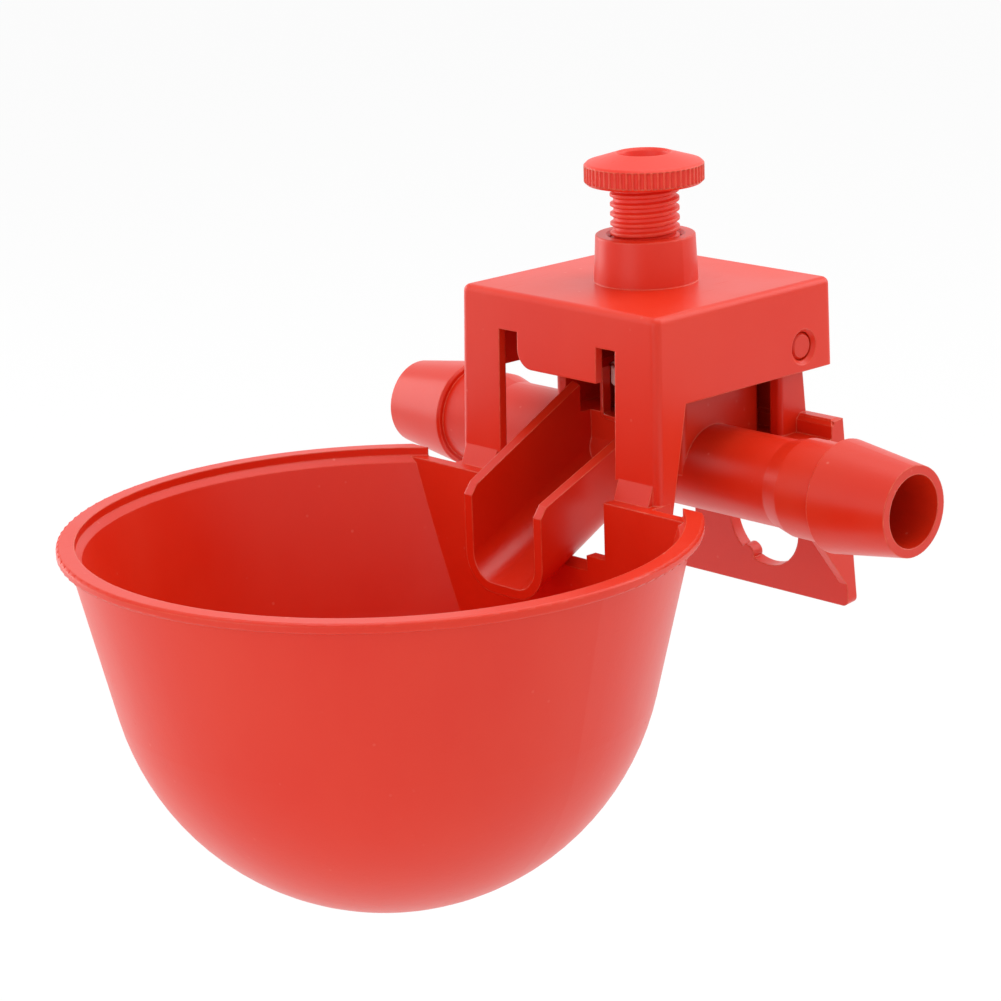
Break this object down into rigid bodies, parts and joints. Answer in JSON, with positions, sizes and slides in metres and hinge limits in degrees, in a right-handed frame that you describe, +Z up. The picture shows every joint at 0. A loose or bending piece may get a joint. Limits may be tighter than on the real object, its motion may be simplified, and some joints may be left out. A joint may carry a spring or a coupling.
{
  "type": "poultry cup drinker",
  "caption": "Hanging cup drinker for poultry: a deep round bowl swings on a hose tee with barbed ends, and a sprung valve under a threaded adjuster feeds it through a sloping spout.",
  "frame": {"origin": "centre of the through pipe's bore, on its axis", "axes": "+X along the through pipe, -Y towards the bowl, +Z up, the bowl level in its raised position"},
  "size_m": [0.0768, 0.0893, 0.0753],
  "materials": {
    "tee_body": "semi-gloss moulded red polypropylene",
    "bowl": "semi-gloss moulded red polypropylene",
    "adjusting_screw": "brighter red moulded plastic",
    "valve_plunger": "natural white moulded plastic",
    "seal_pad": "black rubber",
    "valve_spring": "stainless spring wire"
  },
  "bodies": {
    "tee": {"tee_body": "tee_body"},
    "bowl": {"bowl": "bowl"},
    "plunger": {"valve_plunger": "valve_plunger", "seal_pad": "seal_pad"},
    "spring": {"valve_spring": "valve_spring"},
    "screw": {"adjusting_screw": "adjusting_screw"}
  },
  "joints": [
    {"name": "bowl_pivot", "type": "hinge", "parent": "tee", "child": "bowl", "pos_m": [0, 0.0092, 0.0128], "axis": [1, 0, 0], "range_deg": [0, 6], "stiffness_Nm_per_rad": 0.06, "springref_deg": -17.19, "deforming": ["valve_spring"]},
    {"name": "plunger_slide", "type": "slide", "parent": "tee", "child": "plunger", "axis": [0, 0, -1], "range_m": [0, 0.00062]},
    {"name": "screw_advance", "type": "slide", "parent": "bowl", "child": "spring", "axis": [0, 0, -1], "range_m": [-0.00215, 0.0043]},
    {"name": "screw_turn", "type": "hinge", "parent": "spring", "child": "screw", "pos_m": [0, 0, 0.0325], "axis": [0, 0, -1], "range_deg": [-720, 1440]}
  ],
  "couplings": [
    {"joint": "plunger_slide", "follows": "bowl_pivot", "m_per_rad": 0.0057296},
    {"joint": "screw_turn", "follows": "screw_advance", "rad_per_m": 5817.8}
  ]
}
